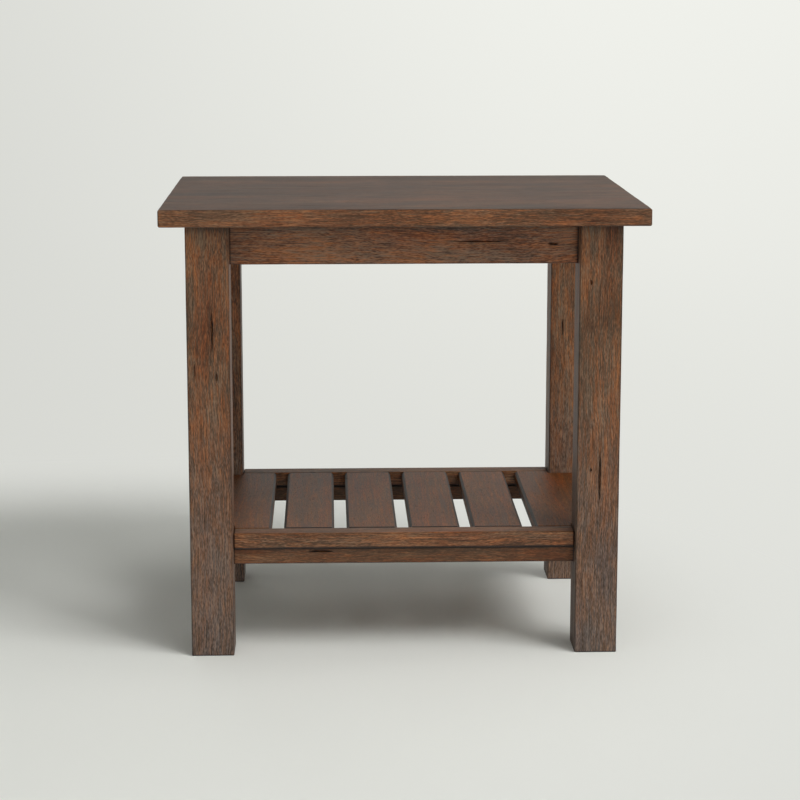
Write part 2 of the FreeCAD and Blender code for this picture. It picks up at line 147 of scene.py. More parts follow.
class Socket:
    """A node's output in a material. Sums with it add Math nodes, and node() adds any other kind."""

    def __init__(self, source):
        self.source = source

    def node(self, kind, settings, inputs, output=0):
        """Add a node, set it up, then give its sockets their values or links."""
        tree = self.source.id_data
        made = tree.nodes.new("ShaderNode" + kind)
        for name, value in settings.items():
            if name == "stops":
                stops = made.color_ramp.elements
                while len(stops) < len(value):
                    stops.new(1.0)
                for stop, (position, colour) in zip(stops, value):
                    stop.position = position
                    stop.color = colour
            else:
                setattr(made, name, value)
        for name, value in inputs.items():
            if isinstance(value, Socket):
                tree.links.new(value.source, made.inputs[name])
            else:
                made.inputs[name].default_value = value
        return Socket(made.outputs[output])

    def math(self, operation, *others):
        """A sum of single values."""
        return self.node("Math", {"operation": operation}, dict(enumerate((self, *others))))

    def vector(self, operation, other):
        """A sum of vectors or colours."""
        return self.node("VectorMath", {"operation": operation}, {0: self, 1: other})

    def length(self):
        """The length of a vector."""
        return self.node("VectorMath", {"operation": "LENGTH"}, {0: self}, "Value")

    def part(self, axis):
        """One part of a vector."""
        return self.node("SeparateXYZ", {}, {0: self}, axis)

    def noise(self, stretch, detail=2.0, output="Fac"):
        """Cloudy noise whose features are 1 / stretch long along each axis."""
        settings = {"noise_dimensions": "3D"}
        inputs = {"Vector": self.vector("MULTIPLY", stretch), "Scale": 1.0, "Detail": detail}
        return self.node("TexNoise", settings, inputs, output)

    def sway(self, stretch, amount):
        """A small move of a point by noise, up to half the amount either way along each axis."""
        either_way = self.noise(stretch, 1.0, "Color").vector("SUBTRACT", (0.5, 0.5, 0.5))
        return either_way.vector("MULTIPLY", amount)

    def ramp(self, low, high):
        """A smooth step from 0 at low to 1 at high."""
        settings = {"interpolation_type": "SMOOTHSTEP"}
        return self.node("MapRange", settings, {0: self, 1: low, 2: high, 3: 0.0, 4: 1.0})

    def mix(self, first, second, blend="MIX"):
        """A colour from first to second as this value goes from 0 to 1."""
        settings = {"data_type": "RGBA", "blend_type": blend}
        return self.node("Mix", settings, {0: self, 6: first, 7: second}, 2)

    def __add__(self, other):
        return self.math("ADD", other)

    def __sub__(self, other):
        return self.math("SUBTRACT", other)

    def __rsub__(self, other):
        return self.node("Math", {"operation": "SUBTRACT"}, {0: other, 1: self})

    def __mul__(self, other):
        return self.math("MULTIPLY", other)

    __radd__ = __add__
    __rmul__ = __mul__


def new_material(name):
    """A new material with its shader, and the Object coordinates that its pattern reads."""
    material = bpy.data.materials.new(name)
    material.use_nodes = True
    nodes = material.node_tree.nodes
    place = Socket(nodes.new("ShaderNodeTexCoord").outputs["Object"])
    return material, nodes["Principled BSDF"], place


def feed(shader, inputs):
    """Link what varies over a surface to its shader."""
    for name, value in inputs.items():
        shader.id_data.links.new(value.source, shader.inputs[name])


def stained_wood(
    name, low, high, grain, checks=(), shade=0.0, fine=1.0, varied=0.85, streaky=0.15, cloudy=0.7,
    fibre_length=1.0, tint=(1, 1, 1), shadow_seam=None, dust_and_sheen=0.0, overhang_shadow=0.0, upper_darkening=0.0,
    arris_glaze_and_shade=(1.6 * MM, 0.4), end_glaze_and_shade=0.7, roughness=0.56, specular=0.45,
):
    """Satin stained wood for one board, cut from its own place in a log, with its grain along an axis.

    A higher shade is paler. Fine is the contrast from fibre to fibre and varied how far their colours
    differ. Streaky and cloudy are the contrast of long streaks and of blotches.
    """
    chance = random.Random(name)
    material, shader, place = new_material(name)
    shader.inputs["Specular IOR Level"].default_value = specular
    height = place.part("Z")
    middle = (low + high) / 2
    board = place.node("Mapping", {"vector_type": "TEXTURE"}, {
        "Vector": place, "Location": middle, "Rotation": GRAIN_TURN[grain],
    })

    # How far each point lies inside the board's sides, its arrises and its ends
    inner = place.vector("SUBTRACT", middle)
    inner = inner.node("VectorMath", {"operation": "ABSOLUTE"}, {0: inner})
    gaps = inner.node("VectorMath", {"operation": "SUBTRACT"}, {0: (high - low) / 2, 1: inner})
    gap = [gaps.part(axis) for axis in "XYZ"]
    lesser = gap[X].math("MINIMUM", gap[Y])
    greater = gap[X].math("MAXIMUM", gap[Y])
    arris = lesser.math("MAXIMUM", greater.math("MINIMUM", gap[Z]))
    at_end = 1 - gap[grain].ramp(*END_REACH)

    # Fibres wander from side to side along the board
    log = board.vector("ADD", [chance.uniform(-9, 9) for axis in AXES])
    slow_drift = log.sway((4, 3, 3), (0, SLOW_DRIFT, SLOW_DRIFT))
    quick_drift = log.sway((24, 14, 14), (0, QUICK_DRIFT, QUICK_DRIFT))
    drift = slow_drift.vector("ADD", quick_drift)
    fibres = log.vector("ADD", drift)

    # Growth rings round a pith that lies outside the board
    pith_side = chance.uniform(0, 2 * math.pi)
    pith_gap = chance.uniform(*PITH_GAP)
    pith = (0, pith_gap * math.cos(pith_side), pith_gap * math.sin(pith_side))
    outward = board.vector("ADD", drift).vector("ADD", pith).vector("MULTIPLY", (0, 1, 1))
    ring_count = outward.length() * RINGS_PER_METRE + chance.uniform(0, 50)
    rings = ring_count.node("TexNoise", {"noise_dimensions": "1D"}, {
        "W": ring_count, "Scale": 1.0, "Detail": 2.0,
    })

    # Short grit, longer fibres, long streaks, open pores, and blotches where the stain took unevenly
    grit = fibres.noise((210, 1600, 1600), 1.0)
    threads = fibres.noise((110 / fibre_length, 1350, 1350), 1.0)
    flecks = fibres.noise((45 / fibre_length, 850, 850))
    streaks = fibres.noise((8, 320, 320))
    pores = fibres.noise((80 / fibre_length, 850, 850), 1.0).ramp(0.62, 0.76)
    patches = log.noise((8, 26, 26))
    fibre_tone = 0.5 * (flecks - 0.5) + 1.2 * (threads - 0.5) + 1.3 * (grit - 0.5)
    tone = 0.5 + shade + fine * fibre_tone + streaky * (streaks - 0.5) + cloudy * (patches - 0.5)
    tone = tone + (0.1 + 0.3 * at_end) * (rings - 0.5)
    colour = tone.node("ValToRGB", {"stops": STAIN_TONES}, {"Fac": tone})
    redness = fibres.noise((6, 40, 40)).ramp(0.40, 0.75)
    colour = redness.mix(colour, RED_TINT, "MULTIPLY")
    colour = (PORE_DARKNESS * fine * pores).mix(colour, PORE_BROWN).vector("MULTIPLY", tint)

    # Painted shadow darkens the wood close under the top, and the upper face may be darker
    if overhang_shadow:
        deep, shallow = OVERHANG_SHADOW_REACH
        colour = (overhang_shadow * height.ramp(high.z - deep, high.z - shallow)).mix(colour, BLACK_BROWN)
    if upper_darkening:
        deep, shallow = UPPER_DARKENING_REACH
        uneven = upper_darkening + UPPER_DARKENING_UNEVEN * (fibres.noise((0.9, 22, 22), 4.0) - 0.5)
        colour = (height.ramp(high.z - deep, high.z - shallow) * uneven).mix(colour, BLACK_BROWN)

    # Dust and a painted pale sheen dull the lower part, where warm and cool fibres then differ less
    dust_and_sheen_amount = dust_and_sheen * (1 - height.ramp(low.z, low.z + DUST_SHEEN_HEIGHT))
    colour = dust_and_sheen_amount.mix(colour, (0.5 + DUST_SHEEN_CONTRAST * fibre_tone).mix(DUST_SHEEN_DARK, DUST_SHEEN_PALE))
    broad_warmth = fibres.noise((12, 95, 95)) - 0.5
    fibre_warmth = fibres.noise((60, 900, 900), 1.0) - 0.5
    warmth = (MEAN_WARMTH + 2.0 * broad_warmth + 2.6 * fibre_warmth).mix(COOL_TINT, WARM_TINT)
    colour = (varied * (1 - DUST_SHEEN_HIDES * dust_and_sheen_amount)).mix(colour, warmth, "MULTIPLY")

    # Dark glaze and painted shade lie along the eased arrises and at the ends, and painted shadow in the
    # seam below the shelf
    reach, strength = arris_glaze_and_shade
    arris_glaze_and_shade_mask = 1 - arris.ramp(ARRIS_FADE[0] * reach, ARRIS_FADE[1] * reach)
    colour = (arris_glaze_and_shade_mask * strength).mix(colour, BLACK_BROWN)
    colour = (at_end * end_glaze_and_shade).mix(colour, BLACK_BROWN)
    if shadow_seam:
        near = 1 - (height - shadow_seam).math("ABSOLUTE").ramp(*SEAM_SHADOW_REACH)
        colour = (near * SEAM_SHADOW).mix(colour, BLACK_BROWN)

    # Drying checks are painted near black inside, as shade in the cracks, with ragged edges
    if checks:
        ragged = place.vector("ADD", place.sway((160, 160, 160), (CHECK_RAGGED,) * 3))
        for point, length, width in checks:
            size = [2 / (length if axis == grain else width) for axis in (X, Y, Z)]
            apart = ragged.vector("SUBTRACT", point).vector("MULTIPLY", size).length()
            colour = (1 - apart.ramp(*CHECK_EDGE)).mix(colour, CHECK_SHADE_BLACK)

    rough = roughness + 0.16 * (streaks - 0.5) + 0.15 * pores
    relief = 0.35 * threads - 0.8 * pores + 0.25 * flecks
    bump = relief.node("Bump", {}, {
        "Strength": RELIEF_STRENGTH, "Distance": RELIEF_DEPTH, "Height": relief,
    })
    feed(shader, {"Base Color": colour, "Roughness": rough, "Normal": bump})
    return material


def block(low, high):
    """A plain block between two corners."""
    mesh = bmesh.new()
    bmesh.ops.create_cube(mesh, size=1.0)
    bmesh.ops.scale(mesh, vec=high - low, verts=mesh.verts)
    bmesh.ops.translate(mesh, vec=(low + high) / 2, verts=mesh.verts)
    return mesh


def edges_along(mesh, axis, wanted=lambda middle: True):
    """The edges along an axis whose middle point is wanted."""
    found = []
    for edge in mesh.edges:
        run = (edge.verts[1].co - edge.verts[0].co).normalized()
        if abs(run.dot(AXES[axis])) > PARALLEL and wanted((edge.verts[0].co + edge.verts[1].co) / 2):
            found.append(edge)
    return found


def ease(mesh, edges, width, segments):
    """Round edges off, or bevel them flat with one segment."""
    bmesh.ops.bevel(
        mesh, geom=edges, offset=width, offset_type="OFFSET", affect="EDGES",
        segments=segments, profile=0.5, material=-1, clamp_overlap=True,
    )


def cut(mesh, faces, axis, places):
    """Cut faces square to an axis at each of some places."""
    for at in places:
        parts = {part for face in faces(mesh) for part in (face, *face.edges, *face.verts)}
        bmesh.ops.bisect_plane(
            mesh, geom=list(parts), plane_co=AXES[axis] * at, plane_no=AXES[axis], dist=CUT_TOUCH,
        )


def slice_up(mesh, axis, low, high):
    """Cut a whole mesh across into short lengths, so that wear along its arrises can vary."""
    count = max(1, round((high - low) / WEAR_SPACING))
    places = [low + (high - low) * step / count for step in range(1, count)]
    cut(mesh, lambda mesh: mesh.faces, axis, places)


def across(facing):
    """The two axes across a direction."""
    return [axis for axis in (X, Y, Z) if abs(facing[axis]) < 0.5]


def wear(mesh, low, high, axis):
    """Rub the arrises along an axis down unevenly, as sanding by hand does."""
    middle = (low + high) / 2
    half = (high - low) / 2
    others = across(AXES[axis])
    for vert in mesh.verts:
        gap = max(half[other] - abs(vert.co[other] - middle[other]) for other in others)
        closeness = 1 - gap / WEAR_REACH
        if closeness > 0:
            amount = ARRIS_WEAR * closeness * max(0, noise.noise(vert.co * WEAR_WAVES) + WEAR_BIAS)
            for other in others:
                vert.co[other] -= math.copysign(amount, vert.co[other] - middle[other])


def within(facing, low, high):
    """A choice of the faces that look one way and reach into the rectangle between two corners."""
    def chosen(mesh):
        mesh.normal_update()
        found = []
        for face in mesh.faces:
            spans = [(axis, [vert.co[axis] for vert in face.verts]) for axis in across(facing)]
            if face.normal.dot(facing) > FACING and all(
                min(span) < high[axis] - TOUCH and max(span) > low[axis] + TOUCH for axis, span in spans
            ):
                found.append(face)
        return found
    return chosen


def cut_out(mesh, facing, low, high):
    """Cut a rectangle free in the faces that look one way, and return the faces inside it."""
    chosen = within(facing, low, high)
    for axis in across(facing):
        cut(mesh, chosen, axis, (low[axis], high[axis]))
    return chosen(mesh)


def push(mesh, faces, move):
    """Push faces in or out as one, with new walls round them."""
    grown = bmesh.ops.extrude_face_region(mesh, geom=faces)["geom"]
    moved = [part for part in grown if isinstance(part, bmesh.types.BMVert)]
    bmesh.ops.translate(mesh, vec=move, verts=moved)


def open_check(mesh, grain, facing, point, length, width):
    """Split a drying check open along the grain, ragged, and deepest in the middle."""
    point = Vector(point)
    reach = Vector([(length if axis == grain else width) / 2 for axis in (X, Y, Z)])
    low, high = point - reach, point + reach
    (side,) = [axis for axis in across(facing) if axis != grain]
    chosen = within(facing, low, high)
    steps = [low[grain] + length * step / CHECK_STEPS for step in range(1, CHECK_STEPS)]
    cut_out(mesh, facing, low, high)
    cut(mesh, chosen, grain, steps)
    cut(mesh, chosen, side, (point[side],))
    for vert in {vert for face in chosen(mesh) for vert in face.verts}:
        along = (vert.co[grain] - point[grain]) / reach[grain]
        aside = round((vert.co[side] - point[side]) / reach[side])
        swell = max(0, 1 - along ** 2)
        wander = width * CHECK_WANDER * noise.noise(AXES[grain] * vert.co[grain] * CHECK_WAVES)
        vert.co[side] = point[side] + wander + aside * reach[side] * (CHECK_TIP + (1 - CHECK_TIP) * swell)
        if aside == 0:
            vert.co -= facing * CHECK_DEPTH * swell


def add_piece(name, mesh, material):
    """Finish a mesh as a piece of the table that stands for the part's own node."""
    bmesh.ops.recalc_face_normals(mesh, faces=mesh.faces)
    for face in mesh.faces:
        face.smooth = True
    for edge in mesh.edges:
        edge.smooth = edge.calc_face_angle(0.0) < SHARP_ANGLE
    data = bpy.data.meshes.new(name + "_dressed")
    mesh.to_mesh(data)
    mesh.free()
    piece = bpy.data.objects.new(name + "_dressed", data)
    bpy.context.scene.collection.objects.link(piece)
    piece.data.materials.append(material)
    flat = piece.modifiers.new("FlatFaces", "WEIGHTED_NORMAL")
    flat.keep_sharp = True
    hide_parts(name)
    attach(piece, "root")


def mortise(leg, face, board, axis, shoulder):
    """Sink a blind mortise for a board's tenon into an inner face of a leg."""
    low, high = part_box(board)
    inward = -math.copysign(1, face[axis])
    facing = AXES[axis] * inward
    tip = low[axis] if inward > 0 else high[axis]
    depth = abs(face[axis] - tip) + MORTISE_END_GAP
    middle = (low + high) / 2
    half = Vector((1, 1, 0)) * (TENON_THICKNESS / 2 + MORTISE_GAP)
    bottom = middle - half
    bottom.z = low.z + shoulder - MORTISE_GAP
    top = middle + half
    top.z = high.z - shoulder + MORTISE_GAP
    push(leg, cut_out(leg, facing, bottom, top), -facing * depth)


for end in ("front", "rear"):
    for side in ("left", "right"):
        node = f"leg_{end}_{side}"
        low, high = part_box(node)
        post = block(low, high)
        ease(post, edges_along(post, Z), LEG_EASE, 4)
        foot = [edge for edge in post.edges if max(vert.co.z for vert in edge.verts) < low.z + MM]
        ease(post, foot, FOOT_EASE, 2)
        slice_up(post, Z, low.z, high.z)
        wear(post, low, high, Z)
        inner = Vector((min(low.x, high.x, key=abs), min(low.y, high.y, key=abs), 0))
        for kind, shoulder in SHOULDERS.items():
            mortise(post, inner, f"{kind}_{end}", X, shoulder)
            mortise(post, inner, f"{kind}_{side}", Y, shoulder)
        checks = LEG_CHECKS.get(node, ())
        for point, length, width in checks:
            open_check(post, Z, -AXES[Y], point, length, width)
        wood = stained_wood(
            node + "_wood", low, high, Z, checks, dust_and_sheen=LEG_DUST_AND_SHEEN, overhang_shadow=OVERHANG_SHADOW, **LEG_FINISH[node],
        )
        add_piece(node, post, wood)


# The aprons are four boards of the same wood, set on edge under the top behind the faces of the legs. A
# stub tenon at each end is glued into a leg.

APRON_EASE = 1.0 * MM
# The aprons are painted paler, as light under the top
APRON_FINISH = {"shade": 0.10, "varied": 0.9, "fibre_length": 3.5, "tint": (1.04, 1.0, 1.03), "dust_and_sheen": 0.12}
APRON_CHECKS = {
    "apron_front": (
        ((0.085, -0.171, 0.489), 0.060, 0.0020),
        ((0.172, -0.171, 0.486), 0.012, 0.0034),
    ),
}


def plank(low, high, along, width):
    """A straight board with its long edges eased and worn."""
    mesh = block(low, high)
    ease(mesh, edges_along(mesh, along), width, 3)
    slice_up(mesh, along, low[along], high[along])
    wear(mesh, low, high, along)
    return mesh


def tenoned_board(node, along, start, end, width, shoulder):
    """A board between two legs with a stub tenon at each end, and its corners without the tenons."""
    cad_low, cad_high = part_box(node)
    low, high = cad_low.copy(), cad_high.copy()
    low[along], high[along] = start, end
    board = plank(low, high, along, width)
    middle = (low + high) / 2
    half = Vector((TENON_THICKNESS / 2, TENON_THICKNESS / 2, (high.z - low.z) / 2 - shoulder))
    for reach in (cad_low[along] - start, cad_high[along] - end):
        facing = AXES[along] * math.copysign(1, reach)
        push(board, cut_out(board, facing, middle - half, middle + half), AXES[along] * reach)
    return board, low, high


inner_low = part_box("leg_front_left")[1]
inner_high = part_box("leg_rear_right")[0]
SPANS = {
    "front": (X, inner_low.x, inner_high.x),
    "rear": (X, inner_low.x, inner_high.x),
    "left": (Y, inner_low.y, inner_high.y),
    "right": (Y, inner_low.y, inner_high.y),
}
for side, (along, start, end) in SPANS.items():
    node = "apron_" + side
    board, low, high = tenoned_board(node, along, start, end, APRON_EASE, SHOULDERS["apron"])
    checks = APRON_CHECKS.get(node, ())
    for point, length, width in checks:
        open_check(board, along, -AXES[Y], point, length, width)
    # Painted shadow darkens each apron close under the top
    wood = stained_wood(node + "_board", low, high, along, checks, overhang_shadow=OVERHANG_SHADOW, **APRON_FINISH)
    add_piece(node, board, wood)


# The stretchers are thinner bars of the same wood near the floor, tenoned into the legs in the same way.
# They carry the shelf: its rails lie on the front and rear ones and are screwed down from below, and its
# outer boards lie on the side ones.

STRETCHER_EASE = 1.5 * MM
# The stretchers are painted darker, as shade under the rails
STRETCHER_FINISH = {
    "shade": -0.10, "fine": 0.62, "varied": 0.6, "fibre_length": 2.5, "tint": (0.98, 0.94, 0.85),
}
STRETCHER_CHECKS = {
    "stretcher_front": (
        ((-0.098, -0.1715, 0.1220), 0.030, 0.0026),
    ),
}
SCREW_RADIUS = 2.0 * MM
SCREW_HEAD_RADIUS = 4.0 * MM
SCREW_HEAD_HEIGHT = 2.4 * MM
SCREW_POINT = 4.0 * MM
SCREW_GAP = 0.1 * MM
HOLE_MARGIN = 1.0 * MM
HOLE_SIDES = 24
shelf_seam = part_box("stretcher_front")[1].z


def screw_places(node):
    """Where the four screws of a group stand, seen from above."""
    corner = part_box(node)[1]
    x, y = corner.x - SCREW_HEAD_RADIUS, corner.y - SCREW_HEAD_RADIUS
    return [(x * left, y * front) for left in (-1, 1) for front in (-1, 1)]


def open_patch(mesh, facing, x, y, radius, height):
    """Take a square out of a level face for a round hole, and return its border."""
    half = Vector((1, 1, 0)) * (radius + HOLE_MARGIN)
    middle = Vector((x, y, height))
    patch = cut_out(mesh, facing, middle - half, middle + half)
    if len(patch) > 1:
        patch = bmesh.ops.dissolve_faces(mesh, faces=patch)["region"]
    border = list(patch[0].edges)
    bmesh.ops.delete(mesh, geom=patch, context="FACES_ONLY")
    return border


def drill(mesh, x, y, steps, through):
    """Drill an upright hole from below, through the wood or blind. A step is a radius and a height."""
    border = open_patch(mesh, -AXES[Z], x, y, *steps[0])
    for radius, height in steps:
        place = Matrix.Translation((x, y, height))
        circle = bmesh.ops.create_circle(
            mesh, cap_ends=False, segments=HOLE_SIDES, radius=radius, matrix=place,
        )["verts"]
        rim = list({edge for vert in circle for edge in vert.link_edges})
        bmesh.ops.bridge_loops(mesh, edges=border + rim)
        border = rim
    if through:
        bmesh.ops.bridge_loops(mesh, edges=border + open_patch(mesh, AXES[Z], x, y, *steps[-1]))
    else:
        bmesh.ops.edgeloop_fill(mesh, edges=border)


def pilot_holes(board, group, low, high):
    """Drill blind holes into a board for the points of those screws of a group that stand below it."""
    bore = SCREW_RADIUS + SCREW_GAP
    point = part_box(group)[1].z
    steps = [(bore, low.z), (bore, point - SCREW_POINT), (SCREW_GAP, point + SCREW_GAP)]
    for x, y in screw_places(group):
        if low.x < x < high.x and low.y < y < high.y:
            drill(board, x, y, steps, False)


for side, (along, start, end) in SPANS.items():
    node = "stretcher_" + side
    board, low, high = tenoned_board(node, along, start, end, STRETCHER_EASE, SHOULDERS["stretcher"])
    checks = STRETCHER_CHECKS.get(node, ())
    for point, length, width in checks:
        open_check(board, along, -AXES[Y], point, length, width)
    sink = SCREW_HEAD_RADIUS + SCREW_GAP
    bore = SCREW_RADIUS + SCREW_GAP
    for x, y in screw_places("shelf_screws"):
        if low.y < y < high.y and along == X:
            drill(board, x, y, [(sink, low.z), (bore, low.z + SCREW_HEAD_HEIGHT), (bore, high.z)], True)
    # Painted shadow darkens the seam along the stretcher's upper face
    wood = stained_wood(node, low, high, along, checks, shadow_seam=shelf_seam, **STRETCHER_FINISH)
    add_piece(node, board, wood)


# The shelf's two rails are rounder bars of the same wood, which stand a little proud of the stretchers
# below them and leave a shadow line. Mortises in their inner faces take the tenons of the shelf's boards.

RAIL_EASE = 2.0 * MM
RAIL_FINISH = {"varied": 0.6, "fibre_length": 5.0, "arris_glaze_and_shade": (1.0 * MM, 0.1)}
SLAT_TENON_THICKNESS = 6 * MM
SLAT_TENON_SHOULDER = 5 * MM
LEG_NOTCH_GAP = 1.0 * MM
SLATS = [f"shelf_slat_{number}" for number in range(1, 5)]
OUTER_BOARDS = ["shelf_board_left", "shelf_board_right"]


def board_tenon(node, gap):
    """Two corners of a shelf board's tenon, between the legs and seen from its end, with a gap round it."""
    low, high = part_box(node)
    notch = inner_high.x - LEG_NOTCH_GAP
    left, right = max(low.x, -notch), min(high.x, notch)
    middle = (low.z + high.z) / 2
    half = SLAT_TENON_THICKNESS / 2 + gap
    inset = SLAT_TENON_SHOULDER - gap
    return Vector((left + inset, 0, middle - half)), Vector((right - inset, 0, middle + half))


for side, inward in (("front", 1), ("rear", -1)):
    node = "shelf_rail_" + side
    low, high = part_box(node)
    rail = block(low, high)
    ease(rail, list(rail.edges), RAIL_EASE, 3)
    slice_up(rail, X, low.x, high.x)
    wear(rail, low, high, X)
    facing = AXES[Y] * inward
    for board in SLATS + OUTER_BOARDS:
        bottom, top = board_tenon(board, MORTISE_GAP)
        depth = abs(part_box(board)[0].y) - min(abs(low.y), abs(high.y)) + MORTISE_END_GAP
        push(rail, cut_out(rail, facing, bottom, top), -facing * depth)
    pilot_holes(rail, "shelf_screws", low, high)
    # Painted shadow darkens the seam along the rail's underside
    wood = stained_wood(node, low, high, X, shadow_seam=shelf_seam, **RAIL_FINISH)
    add_piece(node, rail, wood)


# The shelf's four slats are narrow boards of the same wood from front to back, with open slots between
# them. Their long upper edges are planed to a broad flat bevel, and their ends to a narrow one where
# their stub tenons go into the rails.

SLAT_BEVEL = 3.0 * MM
SLAT_END_BEVEL = 1.0 * MM
SLAT_EASE = 0.5 * MM
SLAT_END_GAP = 0.3 * MM
# The slats' bevels are darkened with glaze and painted shade
SLAT_FINISH = {
    "fine": 0.5, "varied": 0.5, "streaky": 0.7, "cloudy": 0.35, "tint": (0.92, 0.75, 0.52),
    "arris_glaze_and_shade": (3.0 * MM, 0.9), "roughness": 0.52, "specular": 0.31,
}
rail_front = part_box("shelf_rail_front")[1].y
rail_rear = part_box("shelf_rail_rear")[0].y


def add_board_tenons(board, node):
    """Push a stub tenon out of each end of a shelf board."""
    bottom, top = board_tenon(node, 0)
    length = rail_front + SLAT_END_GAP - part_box(node)[0].y
    for facing in (-AXES[Y], AXES[Y]):
        push(board, cut_out(board, facing, bottom, top), facing * length)


for node in SLATS:
    low, high = (corner.copy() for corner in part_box(node))
    low.y = rail_front + SLAT_END_GAP
    high.y = rail_rear - SLAT_END_GAP
    slat = block(low, high)
    ease(slat, edges_along(slat, Y, lambda middle: middle.z > high.z - MM), SLAT_BEVEL, 1)
    ease(slat, edges_along(slat, X, lambda middle: middle.z > high.z - MM), SLAT_END_BEVEL, 1)
    ease(slat, edges_along(slat, Y), SLAT_EASE, 2)
    slice_up(slat, Y, low.y, high.y)
    add_board_tenons(slat, node)
    add_piece(node, slat, stained_wood(node + "_grain", low, high, Y, **SLAT_FINISH))


# The shelf's outer boards are wider boards of the same wood, sawn out round the legs. They have a rounded
# outer edge and the same bevel along the slot, and lie on the side stretchers.

OUTER_SHADE = -0.05
for node in OUTER_BOARDS:
    low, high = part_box(node)
    sign = math.copysign(1, low.x + high.x)
    outer, slot_edge = (high.x, low.x) if sign > 0 else (low.x, high.x)
    notch_x = sign * (inner_high.x - LEG_NOTCH_GAP)
    notch_y = inner_high.y - LEG_NOTCH_GAP
    end_y = rail_rear - SLAT_END_GAP
    plan = [
        (slot_edge, -end_y), (notch_x, -end_y), (notch_x, -notch_y), (outer, -notch_y),
        (outer, notch_y), (notch_x, notch_y), (notch_x, end_y), (slot_edge, end_y),
    ]
    board = bmesh.new()
    underside = board.faces.new([board.verts.new((x, y, low.z)) for x, y in plan])
    push(board, [underside], (0, 0, high.z - low.z))
    ease(board, edges_along(board, Y, lambda middle: abs(middle.x - outer) < MM), RAIL_EASE, 3)
    ease(
        board,
        edges_along(board, Y, lambda middle: abs(middle.x - slot_edge) < MM and middle.z > high.z - MM),
        SLAT_BEVEL, 1,
    )
    ease(
        board,
        edges_along(board, X, lambda middle: abs(middle.y) > end_y - MM and middle.z > high.z - MM),
        SLAT_END_BEVEL, 1,
    )
    bmesh.ops.recalc_face_normals(board, faces=board.faces)
    add_board_tenons(board, node)
    wood = stained_wood(node + "_brown", low, high, Y, shade=OUTER_SHADE, **SLAT_FINISH)
    add_piece(node, board, wood)


# The corner blocks are braces of unstained softwood, sawn to three-sided pieces and glued across the
# corners behind the aprons. A screw goes up through each one into the top.

PALE_WOOD = (0.42, 0.27, 0.15, 1.0)
SAWN_SHADE = (0.30, 0.18, 0.095, 1.0)
SAW_MARKS = (60, 60, 500)
SAW_MARK_DEPTH = 0.4 * MM


def sawn_wood(name):
    """Unstained sawn wood with saw marks across the grain."""
    material, shader, place = new_material(name)
    marks = place.noise(SAW_MARKS, 3.0)
    colour = marks.ramp(0.35, 0.65).mix(PALE_WOOD, SAWN_SHADE)
    rough = 0.75 + 0.2 * (marks - 0.5)
    bump = marks.node("Bump", {}, {
        "Strength": RELIEF_STRENGTH, "Distance": SAW_MARK_DEPTH, "Height": marks,
    })
    feed(shader, {"Base Color": colour, "Roughness": rough, "Normal": bump})
    return material


sawn = sawn_wood("sawn_softwood")
for corner in ("front_left", "front_right", "rear_left", "rear_right"):
    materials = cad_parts["corner_block_" + corner].data.materials
    materials.clear()
    materials.append(sawn)


# The top is one solid slab of the same wood, with its grain from left to right and all its edges eased.
# It overhangs the legs on every side and is screwed down from below. Its upper face is coloured darker.

TOP_EASE = 2.0 * MM
TOP_FINISH = {
    "shade": 0.005, "fine": 0.8, "varied": 0.63, "streaky": 0.3, "fibre_length": 4.5, "upper_darkening": 0.46,
    "arris_glaze_and_shade": (1.0 * MM, 0.15), "end_glaze_and_shade": 0.3,
}
low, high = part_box("top")
slab = block(low, high)
ease(slab, list(slab.edges), TOP_EASE, 4)
slice_up(slab, X, low.x, high.x)
slice_up(slab, Y, low.y, high.y)
for axis in (X, Y, Z):
    wear(slab, low, high, axis)
pilot_holes(slab, "top_screws", low, high)
add_piece("top", slab, stained_wood("top", low, high, X, **TOP_FINISH))


# The screws are countersunk wood screws of turned steel with a rolled thread and a square drive, plated
# with yellowish zinc. Four hold the top from below, and four hold the shelf's rails on the stretchers.

ZINC = (0.56, 0.52, 0.42, 1.0)
ZINC_DULL = (0.40, 0.37, 0.30, 1.0)
THREAD_CORE = 1.4 * MM
THREAD_PITCH = 1.8 * MM
PLAIN_SHANK = 10 * MM
DRIVE_WIDTH = 2.4 * MM
DRIVE_DEPTH = 1.6 * MM
TURN_STEPS = 24
THREAD_CREST = 0.35 * THREAD_PITCH
THREAD_FOOT = 0.7 * THREAD_PITCH
MOTTLE = (900, 900, 900)


def zinc_plate(name):
    """Zinc plated steel with a faintly mottled passivated skin."""
    material, shader, place = new_material(name)
    shader.inputs["Metallic"].default_value = 1.0
    mottle = place.noise(MOTTLE)
    colour = mottle.ramp(0.35, 0.65).mix(ZINC, ZINC_DULL)
    rough = 0.30 + 0.25 * mottle
    feed(shader, {"Base Color": colour, "Roughness": rough})
    return material


def turn(mesh, parts, x, y, turns=1, climb=0.0):
    """Sweep parts of a mesh round an upright axis, and up along it for a thread."""
    steps = round(TURN_STEPS * turns)
    bmesh.ops.spin(
        mesh, geom=parts, cent=(x, y, 0), axis=AXES[Z], dvec=(0, 0, climb / TURN_STEPS),
        angle=2 * math.pi * steps / TURN_STEPS, steps=steps, use_merge=not climb,
    )


